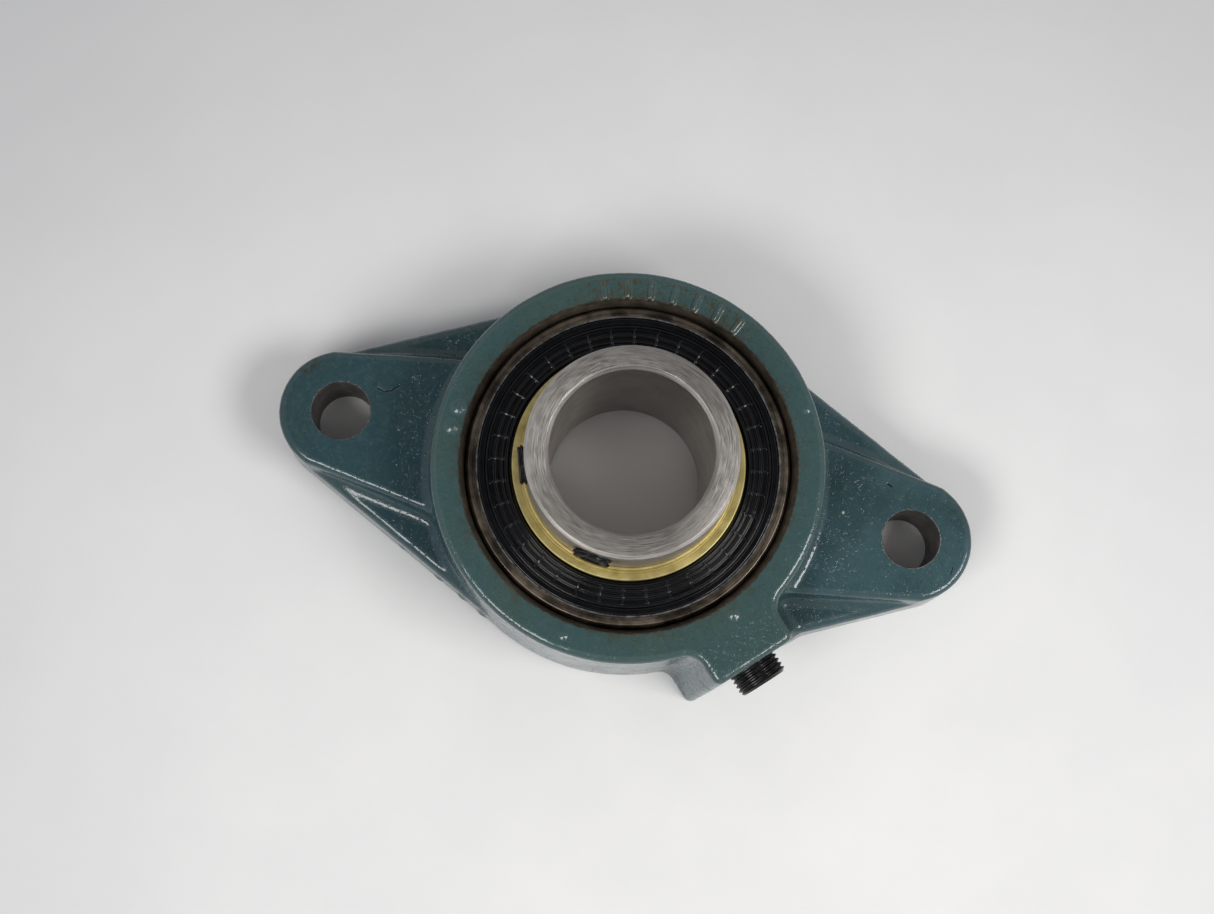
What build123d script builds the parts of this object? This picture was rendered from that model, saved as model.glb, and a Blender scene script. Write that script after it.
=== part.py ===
from build123d import *
import math
import os

# Two-bolt flange bearing, insert size 208, all lengths in millimetres.
# The origin is on the mounting face, on the axis of the bore. X runs through both bolt holes and
# +Z points out of the face, away from whatever the bearing is bolted to.

# Shaft, insert and bolt sizes
SHAFT_D = 38.1
INSERT_D = 80.0
INNER_LENGTH = 49.2
INNER_REAR = 2.0
CENTRE_Z = 21.0
BOLT_SPACING = 143.7
BOLT_HOLE_D = 14.29

# Cast housing
DRAFT = 1.5
EAR_R = 15.7
EAR_TOP = 17.5
PAD_ANGLE = 9.4
FLOOR_TOP = 12.5
BOSS_BASE_R = 48.0
BOSS_TOP = 33.6
BLEND = 3.0
BLOCK_BLEND = 4.0
EDGE_ROUND = 1.5
SEAT_GAP = 0.05
SEAT_HALF = 9.0
MOUTH_R = 40.3
BACK_R = 41.0
BACK_STEP = 3.0

# Two slots in the back, which let the insert in edge on
SLOT_WIDTH = 22.8
SLOT_R = 40.6

# Grease block on the side of the boss, and its screwed plug
BLOCK_ANGLE = -45.0
BLOCK_FACE = 55.4
BLOCK_HALF_TOP = 10.6
BLOCK_HALF_BASE = 15.9
BLOCK_ROUND = 2.0
PLUG_D = 12.4
PLUG_Z = 24.0
PLUG_OUT = 5.2
PLUG_DEPTH = 7.0
PLUG_PITCH = 1.17
PLUG_HEX = 6.35
PLUG_HEX_DEPTH = 4.0
THREAD_DEPTH = 0.6
GREASE_HOLE_D = 3.2

# Ball bearing: z is given as a height above or below the centre of the balls
RING_HALF = 11.1
RING_CORNER = 0.5
RACE_PITCH_R = 30.0
BALL_D = 11.906
BALL_COUNT = 9
RACE_R = 6.2
RACE_GAP = 0.03
OUTER_LAND_R = 33.7
INNER_LAND_R = 26.0
INNER_END_R = 24.8
LAND_HALF = 11.8
BORE_CHAMFER = 0.9
FACE_CHAMFER = 0.73
GROOVE_MIDDLE = 5.2
GROOVE_WIDTH = 4.4
GROOVE_DEPTH = 0.6
RING_HOLE_D = 2.0

# Set screws in the front end of the inner ring
SCREW_D = 9.525
SCREW_ANGLES = {"a": 197.3, "b": 261.5}
SCREW_Z = 43.2
SCREW_TIP_R = 19.6
SCREW_HEAD_R = 26.1
SCREW_GAP = 0.06
SCREW_HEX = 4.76
SCREW_HEX_DEPTH = 3.4
SCREW_CHAMFER = 0.6
SCREW_POINT = 1.5

# Seals, one pressed into each face of the outer ring, and the flingers that guard them
SEAT_R = 36.3
SEAT_DEPTH = 9.4
SHELL_T = 0.6
SHELL_RIM = 0.35
SHELL_IN_R = 29.5
SEAL_IN_R = 28.4
SEAL_FACE = 11.4
LIP_GAP = 0.08
LIP_T = 0.6
FLINGER_R = 27.8
FLINGER_T = 0.8
COLLAR_T = 0.7
COLLAR_H = 1.4

# Two-piece riveted cage
CAGE_T = 1.0
CAGE_HALF_WIDTH = 2.2
POCKET_GAP = 0.25
RIVET_D = 1.8
RIVET_HEAD_D = 3.0
RIVET_HEAD_H = 0.6

# Pin that stops the outer ring from turning but lets it tilt, radial, on the -X side
PIN_D = 3.97
PIN_GAP = 0.04
PIN_IN_R = 37.7
PIN_OUT_R = 42.0
TILT_TRAVEL = 1.6


def boss_radius(z):
    """radius of the drafted boss at a height"""
    return BOSS_BASE_R - z * math.tan(math.radians(DRAFT))


def boss_cone(top):
    """solid cone that carries the boss wall up to a height"""
    return Pos(0, 0, top / 2) * Cone(BOSS_BASE_R, boss_radius(top), top)


def flange_outline():
    """both ear tips and the boss joined by tangent lines"""
    reach = BOLT_SPACING / 2
    turn = math.acos((BOSS_BASE_R - EAR_R) / reach)
    near = (BOSS_BASE_R * math.cos(turn), BOSS_BASE_R * math.sin(turn))
    far = (reach + EAR_R * math.cos(turn), EAR_R * math.sin(turn))
    low_near, low_far = (near[0], -near[1]), (far[0], -far[1])
    tip = ThreePointArc(low_far, (reach + EAR_R, 0), far)
    right = Curve() + [Line(low_near, low_far), tip, Line(far, near)]
    crown = ThreePointArc(near, (0, BOSS_BASE_R), (-near[0], near[1]))
    outline = make_face(right + crown + mirror(right, Plane.YZ) + mirror(crown, Plane.XZ))
    return outline if outline.faces()[0].normal_at().Z > 0 else -outline


def block_at(half, reach, z):
    """rectangle across the grease block at one height"""
    face = Polygon((20, -half), (reach, -half), (reach, half), (20, half), align=None)
    return Pos(0, 0, z) * Rot(0, 0, BLOCK_ANGLE) * face


def grease_block(reach, top):
    """tapered block that carries the grease plug, out to a distance from the axis and up to a height"""
    half_top = BLOCK_HALF_BASE - (BLOCK_HALF_BASE - BLOCK_HALF_TOP) * top / BOSS_TOP
    return loft([block_at(BLOCK_HALF_BASE, reach, 0), block_at(half_top, reach, top)])


def pad_line(x):
    """distance from the X axis to the long edge of a bolt pad at x"""
    slope = math.radians(PAD_ANGLE)
    edge = EAR_R - FLOOR_TOP * math.tan(math.radians(DRAFT))
    return edge / math.cos(slope) + math.tan(slope) * (BOLT_SPACING / 2 - x)


def rounded_inside(cutter, low, high, near, far, wide):
    """round the edges of a cutter that lie inside a box, so that it leaves concave blends"""
    edges = []
    for edge in cutter.edges():
        middle = edge @ 0.5
        across = near + 0.01 < abs(middle.X) < far - 0.01 and abs(middle.Y) < wide - 0.01
        if across and low - 0.01 < middle.Z < high - 0.01:
            edges.append(edge)
    return fillet(edges, BLEND)


def pocket_cutter(end, side):
    """wedge that lowers the flange between a bolt pad and the boss"""
    beside_block = end > 0 and side < 0
    near, far, wide = (30 if beside_block else 20), 95, 60
    corners = [(near, pad_line(near)), (far, pad_line(far)), (far, wide), (near, wide)]
    wedge = Polygon(*[(end * x, side * y) for x, y in corners], align=None)
    height = EAR_TOP + BLEND + 0.5 - FLOOR_TOP
    cutter = extrude(Pos(0, 0, FLOOR_TOP) * wedge, height, dir=(0, 0, 1))
    if beside_block:
        cutter = cutter - grease_block(2 * BLOCK_FACE, 2 * BOSS_TOP)
        cutter = cutter.solids().sort_by(Axis.X)[-1]
    else:
        cutter = cutter - boss_cone(2 * BOSS_TOP)
    return rounded_inside(cutter, FLOOR_TOP, FLOOR_TOP + height, near, far, wide)


def step_cutter(end):
    """everything above a bolt pad, outside the boss"""
    far, wide, high = 120, 65, 30
    box = Pos(end * far / 2, 0, EAR_TOP + high / 2) * Box(far, 2 * wide, high)
    cutter = (box - boss_cone(2 * BOSS_TOP)) - grease_block(2 * BLOCK_FACE, 2 * BOSS_TOP)
    cutter = cutter.solids().sort_by(Axis.X)[-1 if end > 0 else 0]
    return rounded_inside(cutter, EAR_TOP, EAR_TOP + high, 0, far, wide)


def is_level(edge, z):
    """true for an edge that lies at one height"""
    return all(abs((edge @ step).Z - z) < 0.01 for step in (0, 0.5, 1))


def is_upright(edge, nearest, farthest):
    """true for a long rising edge whose middle is between two distances from the axis"""
    middle = edge @ 0.5
    reach = math.hypot(middle.X, middle.Y)
    return abs((edge @ 0).Z - (edge @ 1).Z) > 20 and nearest < reach < farthest


def ring(points):
    """body of revolution from half a section, given as (radius, height) points"""
    return revolve(Plane.XZ * make_face(Polyline(*points, close=True)), Axis.Z)


def casting():
    """outside of the housing, with its blends, before machining"""
    ears = extrude(flange_outline(), EAR_TOP, taper=DRAFT)
    ears = fillet([edge for edge in ears.edges() if is_level(edge, EAR_TOP)], EDGE_ROUND)
    tall = boss_cone(BOSS_TOP) + grease_block(BLOCK_FACE, BOSS_TOP)
    tall = fillet([edge for edge in tall.edges() if is_upright(edge, 0, 50)], BLOCK_BLEND)
    tall = fillet([edge for edge in tall.edges() if is_upright(edge, 54, 60)], BLOCK_ROUND)
    tall = fillet([edge for edge in tall.edges() if is_level(edge, BOSS_TOP)], EDGE_ROUND)
    body = ears + tall
    for end in (1, -1):
        body = body - step_cutter(end)
        for side in (1, -1):
            body = body - pocket_cutter(end, side)
    return body


def insert_seat():
    """cutter for the spherical seat, its flared mouth and the wider back"""
    seat_r = INSERT_D / 2 + SEAT_GAP
    edge_r = math.sqrt(seat_r**2 - SEAT_HALF**2)
    low, high = CENTRE_Z - SEAT_HALF, CENTRE_Z + SEAT_HALF
    section = Polyline(
        (edge_r, high),
        (MOUTH_R, BOSS_TOP),
        (MOUTH_R, BOSS_TOP + 1),
        (0, BOSS_TOP + 1),
        (0, -1),
        (BACK_R, -1),
        (BACK_R, BACK_STEP),
        (edge_r, low),
    )
    bulge = ThreePointArc((edge_r, low), (seat_r, CENTRE_Z), (edge_r, high))
    return revolve(Plane.XZ * make_face(section + bulge), Axis.Z)


def loading_slots():
    """cutter for the two slots that reach the middle of the seat from the back"""
    slab = Pos(0, 0, CENTRE_Z / 2) * Box(SLOT_WIDTH, 3 * SLOT_R, CENTRE_Z)
    return slab & (Pos(0, 0, CENTRE_Z / 2) * Cylinder(SLOT_R, CENTRE_Z))


def radial(angle, z, radius, inner, outer):
    """cylinder that lies along a radius, between two distances from the axis"""
    rod = Cylinder(radius, outer - inner, align=(Align.CENTER, Align.CENTER, Align.MIN))
    return Pos(0, 0, z) * Rot(0, 0, angle) * Pos(inner, 0, 0) * Rot(0, 90, 0) * rod


def housing():
    """cast two-bolt housing with a spherical seat"""
    body = casting() - insert_seat() - loading_slots()
    for end in (1, -1):
        body = body - Pos(end * BOLT_SPACING / 2, 0, 0) * Cylinder(BOLT_HOLE_D / 2, 60)
    body = body - radial(BLOCK_ANGLE, PLUG_Z, PLUG_D / 2, BLOCK_FACE - PLUG_DEPTH, BLOCK_FACE + 5)
    body = body - radial(BLOCK_ANGLE, PLUG_Z, GREASE_HOLE_D / 2, 30, BLOCK_FACE)
    notch = Box(8, PIN_D + 4 * PIN_GAP, PIN_D + 2 * TILT_TRAVEL)
    return body - Pos(-PIN_OUT_R + 3.5, 0, CENTRE_Z) * notch


def hex_socket(across, depth):
    """hexagonal recess, opening upwards at height zero"""
    return Pos(0, 0, -depth) * extrude(RegularPolygon(across / math.sqrt(3), 6), depth + 1)


def grease_plug():
    """threaded plug with a hexagon socket"""
    crest, root = PLUG_D / 2, PLUG_D / 2 - THREAD_DEPTH
    turns = int(PLUG_OUT / PLUG_PITCH)
    points = [(0, -PLUG_DEPTH), (crest, -PLUG_DEPTH), (crest, 0)]
    for turn in range(turns):
        points.append((root, (turn + 0.5) * PLUG_PITCH))
        points.append((crest, (turn + 1) * PLUG_PITCH))
    points.extend([(root, PLUG_OUT), (0, PLUG_OUT)])
    plug = ring(points) - Pos(0, 0, PLUG_OUT) * hex_socket(PLUG_HEX, PLUG_HEX_DEPTH)
    return Pos(0, 0, PLUG_Z) * Rot(0, 0, BLOCK_ANGLE) * Pos(BLOCK_FACE, 0, 0) * Rot(0, 90, 0) * plug


def anti_rotation_pin():
    """plain pin between the outer ring and the notch in the seat"""
    return radial(180, CENTRE_Z, PIN_D / 2, PIN_IN_R, PIN_OUT_R)


def outer_ring():
    """outer ring with a spherical outside, one ball groove and a seal seat in each face"""
    bottom = RACE_PITCH_R + BALL_D / 2 + RACE_GAP
    half = math.sqrt(RACE_R**2 - (OUTER_LAND_R - bottom + RACE_R) ** 2)
    top = RING_HALF - RING_CORNER
    shoulder = math.sqrt((INSERT_D / 2) ** 2 - top**2)
    face_r = shoulder - RING_CORNER
    inside = Polyline(
        (OUTER_LAND_R, half),
        (OUTER_LAND_R, SEAT_DEPTH),
        (SEAT_R, SEAT_DEPTH),
        (SEAT_R, RING_HALF),
        (face_r, RING_HALF),
        (shoulder, top),
    )
    outside = ThreePointArc((shoulder, top), (INSERT_D / 2, 0), (shoulder, -top))
    race = ThreePointArc((OUTER_LAND_R, half), (bottom, 0), (OUTER_LAND_R, -half))
    section = make_face(inside + outside + mirror(inside, Plane.XZ) + race)
    body = revolve(Plane.XZ * section, Axis.Z)
    groove_r = INSERT_D / 2 - GROOVE_DEPTH
    groove = Cylinder(INSERT_D / 2 + 1, GROOVE_WIDTH) - Cylinder(groove_r, GROOVE_WIDTH)
    body = Pos(0, 0, CENTRE_Z) * (body - Pos(0, 0, GROOVE_MIDDLE) * groove)
    for angle in (BLOCK_ANGLE, BLOCK_ANGLE + 180):
        hole_z = CENTRE_Z + GROOVE_MIDDLE + 1
        body = body - radial(angle, hole_z, RING_HOLE_D / 2, OUTER_LAND_R - 1, INSERT_D / 2)
    return body - radial(180, CENTRE_Z, PIN_D / 2 + PIN_GAP, PIN_IN_R - PIN_GAP, PIN_OUT_R)


def inner_ring():
    """long inner ring with one ball groove and two tapped holes at the front end"""
    bottom = RACE_PITCH_R - BALL_D / 2 - RACE_GAP
    half = math.sqrt(RACE_R**2 - (bottom + RACE_R - INNER_LAND_R) ** 2)
    low, high = INNER_REAR - CENTRE_Z, INNER_REAR + INNER_LENGTH - CENTRE_Z
    bore = SHAFT_D / 2
    front = Polyline(
        (INNER_LAND_R, half),
        (INNER_LAND_R, LAND_HALF),
        (INNER_END_R, LAND_HALF),
        (INNER_END_R, high - FACE_CHAMFER),
        (INNER_END_R - FACE_CHAMFER, high),
        (bore + BORE_CHAMFER, high),
        (bore, high - BORE_CHAMFER),
        (bore, low + BORE_CHAMFER),
        (bore + BORE_CHAMFER, low),
        (INNER_END_R - FACE_CHAMFER, low),
        (INNER_END_R, low + FACE_CHAMFER),
        (INNER_END_R, -LAND_HALF),
        (INNER_LAND_R, -LAND_HALF),
        (INNER_LAND_R, -half),
    )
    race = ThreePointArc((INNER_LAND_R, half), (bottom, 0), (INNER_LAND_R, -half))
    body = Pos(0, 0, CENTRE_Z) * revolve(Plane.XZ * make_face(front + race), Axis.Z)
    for angle in SCREW_ANGLES.values():
        body = body - radial(angle, SCREW_Z, SCREW_D / 2, bore - 3, INNER_END_R + 3)
    return body


def set_screw(angle):
    """headless socket screw, tapered to its point, that clamps the ring to the shaft"""
    radius, length = SCREW_D / 2 - SCREW_GAP, SCREW_HEAD_R - SCREW_TIP_R
    points = [(0, 0), (radius - SCREW_POINT, 0), (radius, SCREW_POINT), (radius, length - SCREW_CHAMFER)]
    screw = ring(points + [(radius - SCREW_CHAMFER, length), (0, length)])
    screw = screw - Pos(0, 0, length) * hex_socket(SCREW_HEX, SCREW_HEX_DEPTH)
    return Pos(0, 0, SCREW_Z) * Rot(0, 0, angle) * Pos(SCREW_TIP_R, 0, 0) * Rot(0, 90, 0) * screw


def both_faces(front):
    """a part on the front face and its mirror image on the back face"""
    rear = mirror(front, Plane.XY)
    return Pos(0, 0, CENTRE_Z) * front, Pos(0, 0, CENTRE_Z) * rear


def seal_shell():
    """steel carrier of a seal, with a rim that is rolled into the outer ring"""
    return ring(
        [
            (SHELL_IN_R, SEAT_DEPTH),
            (SEAT_R, SEAT_DEPTH),
            (SEAT_R, SEAL_FACE),
            (SEAT_R - SHELL_RIM, SEAL_FACE),
            (SEAT_R - SHELL_RIM, SEAT_DEPTH + SHELL_T),
            (SHELL_IN_R, SEAT_DEPTH + SHELL_T),
        ]
    )


def seal_rubber():
    """rubber face of a seal, with a lip that reaches the land of the inner ring"""
    lip_r = INNER_LAND_R + LIP_GAP
    return ring(
        [
            (SEAT_R - SHELL_RIM, SEAT_DEPTH + SHELL_T),
            (SEAT_R - SHELL_RIM, SEAL_FACE),
            (SEAL_IN_R, SEAL_FACE),
            (SEAL_IN_R, SEAT_DEPTH + 1.5 * LIP_T),
            (lip_r, SEAT_DEPTH + 1.2 * LIP_T),
            (lip_r, SEAT_DEPTH + 0.2 * LIP_T),
            (SHELL_IN_R, SEAT_DEPTH),
            (SHELL_IN_R, SEAT_DEPTH + SHELL_T),
        ]
    )


def flinger():
    """thin pressed ring on the inner ring, against the step beside the land"""
    rim = FLINGER_T / 3
    return ring(
        [
            (INNER_END_R, LAND_HALF),
            (FLINGER_R - rim, LAND_HALF),
            (FLINGER_R, LAND_HALF + rim),
            (FLINGER_R, LAND_HALF + FLINGER_T - rim),
            (FLINGER_R - rim, LAND_HALF + FLINGER_T),
            (INNER_END_R + COLLAR_T, LAND_HALF + FLINGER_T),
            (INNER_END_R + COLLAR_T, LAND_HALF + FLINGER_T + COLLAR_H),
            (INNER_END_R, LAND_HALF + FLINGER_T + COLLAR_H),
        ]
    )


def ball_places():
    """centre of every ball, above the middle plane of the rings"""
    step = 360 / BALL_COUNT
    return [Rot(0, 0, number * step) * Pos(RACE_PITCH_R, 0, 0) for number in range(BALL_COUNT)]


def rivet_places():
    """centre of every rivet, halfway between two balls"""
    return [Rot(0, 0, 180 / BALL_COUNT) * place for place in ball_places()]


def cage_band(low, high):
    """flat ring as wide as the cage, between two heights"""
    outer, inner = RACE_PITCH_R + CAGE_HALF_WIDTH, RACE_PITCH_R - CAGE_HALF_WIDTH
    band = Cylinder(outer, high - low) - Cylinder(inner, high - low)
    return Pos(0, 0, (low + high) / 2) * band


def cage_half():
    """half of the cage, a ribbon that is domed over each ball"""
    pocket_r = BALL_D / 2 + POCKET_GAP
    domes = Sphere(pocket_r + CAGE_T)
    pocket = Sphere(pocket_r)
    limit = cage_band(0, 2 * BALL_D)
    half = cage_band(0, CAGE_T)
    for place in ball_places():
        half = half + ((place * domes) & limit)
    for place in ball_places():
        half = half - place * pocket
    for place in rivet_places():
        half = half - place * Cylinder(RIVET_D / 2, 6 * CAGE_T)
    return half


def cage_rivets():
    """rivets through the flats of both cage halves"""
    shank = Cylinder(RIVET_D / 2, 2 * CAGE_T)
    head = Pos(0, 0, CAGE_T + RIVET_HEAD_H / 2) * Cylinder(RIVET_HEAD_D / 2, RIVET_HEAD_H)
    rivet = shank + head + mirror(head, Plane.XY)
    return Pos(0, 0, CENTRE_Z) * Compound([place * rivet for place in rivet_places()])


def make_parts():
    """every piece of the bearing by name"""
    parts = {
        "housing": housing(),
        "grease_plug": grease_plug(),
        "anti_rotation_pin": anti_rotation_pin(),
        "outer_ring": outer_ring(),
        "inner_ring": inner_ring(),
        "cage_rivets": cage_rivets(),
    }
    parts["front_seal_shell"], parts["rear_seal_shell"] = both_faces(seal_shell())
    parts["front_seal_rubber"], parts["rear_seal_rubber"] = both_faces(seal_rubber())
    parts["front_flinger"], parts["rear_flinger"] = both_faces(flinger())
    parts["cage_front_half"], parts["cage_rear_half"] = both_faces(cage_half())
    for number, place in enumerate(ball_places(), start=1):
        parts[f"ball_{number}"] = Pos(0, 0, CENTRE_Z) * place * Sphere(BALL_D / 2)
    for name, angle in SCREW_ANGLES.items():
        parts[f"set_screw_{name}"] = set_screw(angle)
    return parts


os.makedirs("parts", exist_ok=True)
for node, shape in make_parts().items():
    export_step(shape, f"parts/{node}.step")
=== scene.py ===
import math

import bpy
import numpy as np
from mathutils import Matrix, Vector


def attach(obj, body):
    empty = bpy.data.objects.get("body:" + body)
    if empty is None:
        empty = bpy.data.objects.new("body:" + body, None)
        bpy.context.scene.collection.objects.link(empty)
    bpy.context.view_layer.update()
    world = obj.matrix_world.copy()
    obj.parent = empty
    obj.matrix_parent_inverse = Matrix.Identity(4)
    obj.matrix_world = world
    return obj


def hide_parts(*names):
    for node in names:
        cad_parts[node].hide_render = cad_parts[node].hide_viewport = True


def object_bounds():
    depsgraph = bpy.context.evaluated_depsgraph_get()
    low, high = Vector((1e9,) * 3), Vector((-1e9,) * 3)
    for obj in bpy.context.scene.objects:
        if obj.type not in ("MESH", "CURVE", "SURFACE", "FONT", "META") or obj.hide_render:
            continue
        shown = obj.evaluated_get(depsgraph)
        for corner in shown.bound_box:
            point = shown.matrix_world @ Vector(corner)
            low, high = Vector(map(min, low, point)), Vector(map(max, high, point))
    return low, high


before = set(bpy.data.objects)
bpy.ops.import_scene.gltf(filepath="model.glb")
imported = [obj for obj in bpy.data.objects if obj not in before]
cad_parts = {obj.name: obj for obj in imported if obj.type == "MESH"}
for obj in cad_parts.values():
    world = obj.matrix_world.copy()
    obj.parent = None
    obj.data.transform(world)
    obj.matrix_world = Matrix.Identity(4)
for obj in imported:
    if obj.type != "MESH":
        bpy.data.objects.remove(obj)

import openvdb
from mathutils import Matrix, Vector

CAD_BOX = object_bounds()

# Shapes below are worked out in millimetres and scaled to metres when a mesh is made.
MM = 0.001

# Casting
DRAFT = math.radians(1.5)
EAR_X = 71.85
EAR_R = 15.7
EAR_TOP = 17.5
FLOOR_TOP = 12.5
PAD_TURN = math.radians(9.4)
BOSS_R = 48.0
BOSS_TOP = 33.6
BLOCK_TURN = math.radians(-45.0)
BLOCK_FACE = 55.4
BLOCK_HALF_BASE = 15.9
BLOCK_HALF_TOP = 10.6
VOXEL = 0.4
PLATE_ROUND = 2.2

# Bearing
CENTRE_Z = 21.0
SPHERE_R = 40.0
RING_FRONT = 51.2
RING_REAR = 2.0
BORE_R = 19.05
RING_END_R = 24.8
SCREW_Z = 43.2
TAP_R, TAP_RIM_R = 4.7625, 5.2
BOLT_R, BOLT_RIM_R = 7.145, 7.35
PLUG_Z = 24
MOUTH_R, SEAT_WALL_R, REAR_CHAMFER_R = 40.22, 40.75, 41.1
RING_MIDDLE_R = 22.1
# Ridges of the seal: distance from the axis, half width, height
SEAL_RIDGES = ((28.85, 0.34, 0.52), (30.0, 0.26, 0.34), (31.5, 0.46, 0.46), (33.75, 0.34, 0.5))


# ---------------------------------------------------------------- mesh helpers

def new_object(name, points, faces, smooth_angle=30.0):
    """mesh object from points in millimetres, with edges sharper than an angle kept sharp"""
    mesh = bpy.data.meshes.new(name)
    mesh.from_pydata((np.asarray(points, float) * MM).tolist(), [], [list(map(int, f)) for f in faces])
    mesh.validate()
    mesh.update()
    obj = bpy.data.objects.new(name, mesh)
    bpy.context.scene.collection.objects.link(obj)
    smooth(obj, smooth_angle)
    return obj


def smooth(obj, angle=30.0):
    """smooth shading, broken at edges sharper than an angle in degrees"""
    mesh = obj.data
    mesh.polygons.foreach_set("use_smooth", np.ones(len(mesh.polygons), bool))
    mesh.set_sharp_from_angle(angle=math.radians(angle))
    mesh.update()


def volume(points, faces):
    """signed volume of a closed mesh"""
    points = np.asarray(points, float)
    total = 0.0
    by_size = {}
    for face in faces:
        by_size.setdefault(len(face), []).append(face)
    for size, group in by_size.items():
        corners = points[np.array(group)]
        for k in range(1, size - 1):
            total += np.einsum("ij,ij->i", corners[:, 0], np.cross(corners[:, k], corners[:, k + 1])).sum()
    return total / 6.0


def loft(name, rings, closed, place=None, smooth_angle=30.0):
    """solid from rows of equally many points; closed joins the last row to the first, else the ends are capped"""
    rings = np.asarray(rings, float)
    rows, columns = rings.shape[:2]
    points = rings.reshape(-1, 3)
    here = np.arange(columns)
    beside = (here + 1) % columns
    faces = []
    for row in range(rows if closed else rows - 1):
        low, high = row * columns, ((row + 1) % rows) * columns
        faces.extend(np.stack([low + here, low + beside, high + beside, high + here], 1).tolist())
    if not closed:
        points = np.vstack([points, rings[0].mean(0), rings[-1].mean(0)])
        first, last = rows * columns, rows * columns + 1
        base = (rows - 1) * columns
        faces.extend(np.stack([here * 0 + first, beside, here], 1).tolist())
        faces.extend(np.stack([here * 0 + last, base + here, base + beside], 1).tolist())
    if volume(points, faces) < 0:
        faces = [face[::-1] for face in faces]
    if place is not None:
        turn = np.array(place)
        points = points @ turn[:3, :3].T + turn[:3, 3]
    return new_object(name, points, faces, smooth_angle)


def revolved(profile, columns=256, phase=0.0):
    """rings of points from (radius, height) pairs turned about the Z axis"""
    turn = np.linspace(0, 2 * math.pi, columns, endpoint=False) + phase
    profile = np.asarray(profile, float)
    x = profile[:, :1] * np.cos(turn)
    y = profile[:, :1] * np.sin(turn)
    return np.stack([x, y, np.repeat(profile[:, 1:2], columns, 1)], 2)


def rounded(corners, steps=6):
    """closed profile from (radius, height, corner rounding) triples"""
    out = []
    count = len(corners)
    for i, (r, z, fillet) in enumerate(corners):
        here = np.array([r, z], float)
        if fillet <= 0:
            out.append(here)
            continue
        before = np.array(corners[i - 1][:2], float) - here
        after = np.array(corners[(i + 1) % count][:2], float) - here
        before, after = before / np.linalg.norm(before), after / np.linalg.norm(after)
        half = 0.5 * math.acos(max(-1.0, min(1.0, float(before @ after))))
        reach = fillet / math.tan(half)
        start, stop = here + before * reach, here + after * reach
        centre = here + (before + after) / np.linalg.norm(before + after) * fillet / math.sin(half)
        a, b = start - centre, stop - centre
        span = math.acos(max(-1.0, min(1.0, float(a @ b) / (fillet * fillet))))
        for k in range(steps + 1):
            s = k / steps
            weight = np.array([math.sin((1 - s) * span), math.sin(s * span)]) / math.sin(span)
            out.append(centre + weight[0] * a + weight[1] * b)
    return out


def arc(centre, radius, first, last, steps):
    """points on an arc, with angles in radians"""
    return [(centre[0] + radius * math.cos(t), centre[1] + radius * math.sin(t), 0)
            for t in np.linspace(first, last, steps)]


def radial_place(degrees, z, inner):
    """matrix that lays a piece built along Z on a radius, starting at a distance from the axis"""
    spin = Matrix.Rotation(math.radians(degrees), 4, "Z")
    lay = Matrix.Rotation(math.radians(90), 4, "Y")
    return Matrix.Translation((0, 0, z)) @ spin @ Matrix.Translation((inner, 0, 0)) @ lay


def cut(obj, *cutters):
    """subtract closed meshes from a closed mesh, and delete the cutters"""
    for cutter in cutters:
        change = obj.modifiers.new("cut", "BOOLEAN")
        change.operation = "DIFFERENCE"
        change.solver = "MANIFOLD"
        change.object = cutter
        graph = bpy.context.evaluated_depsgraph_get()
        mesh = bpy.data.meshes.new_from_object(obj.evaluated_get(graph))
        obj.modifiers.clear()
        old = obj.data
        obj.data = mesh
        bpy.data.meshes.remove(old)
        bpy.data.objects.remove(cutter)
    obj.data.name = obj.name


# ---------------------------------------------------------------- numeric noise and distance helpers

def lattice_noise(points, size, seed):
    """smooth random values from -1 to 1 with features of a size in millimetres"""
    grid = np.random.default_rng(seed).uniform(-1, 1, (32, 32, 32))
    scaled = points / size + 300.0
    cell = np.floor(scaled).astype(int)
    part = scaled - cell
    part = part * part * (3 - 2 * part)
    value = np.zeros(len(points))
    for corner in range(8):
        step = np.array([corner & 1, corner >> 1 & 1, corner >> 2 & 1])
        weight = np.prod(np.where(step, part, 1 - part), 1)
        index = (cell + step) % 32
        value += weight * grid[index[:, 0], index[:, 1], index[:, 2]]
    return value


def join(a, b, radius):
    """distance to two shapes joined with a concave blend"""
    near, far = np.maximum(radius - a, 0), np.maximum(radius - b, 0)
    return np.maximum(radius, np.minimum(a, b)) - np.hypot(near, far)


def meet(a, b, radius):
    """distance to the overlap of two shapes with a rounded edge"""
    near, far = np.maximum(radius + a, 0), np.maximum(radius + b, 0)
    return np.minimum(-radius, np.maximum(a, b)) + np.hypot(near, far)


def share(value, span):
    """0 at or below zero, rising smoothly to 1 at a span"""
    s = np.clip(value / span, 0, 1)
    return s * s * (3 - 2 * s)


def capsule(x, y, z, start, stop, radius):
    """distance to a rounded bar"""
    a, b = np.array(start, float), np.array(stop, float)
    along = b - a
    length = max(float(along @ along), 1e-9)
    t = np.clip(((x - a[0]) * along[0] + (y - a[1]) * along[1] + (z - a[2]) * along[2]) / length, 0, 1)
    return np.sqrt((x - a[0] - t * along[0]) ** 2 + (y - a[1] - t * along[1]) ** 2
                   + (z - a[2] - t * along[2]) ** 2) - radius


def flange_wall(x, y, z):
    """distance to the drafted wall round both ears and the boss"""
    x, y = np.abs(x), np.abs(y)
    lean = (BOSS_R - EAR_R) / EAR_X
    straight = math.sqrt(1 - lean * lean)
    side = straight * x - lean * y
    boss = np.hypot(x, y) - BOSS_R
    ear = np.hypot(x - EAR_X, y) - EAR_R
    line = lean * x + straight * y - BOSS_R
    flat = np.where(side < 0, boss, np.where(side > straight * EAR_X, ear, line))
    return (flat + z * math.tan(DRAFT)) * math.cos(DRAFT)


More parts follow.
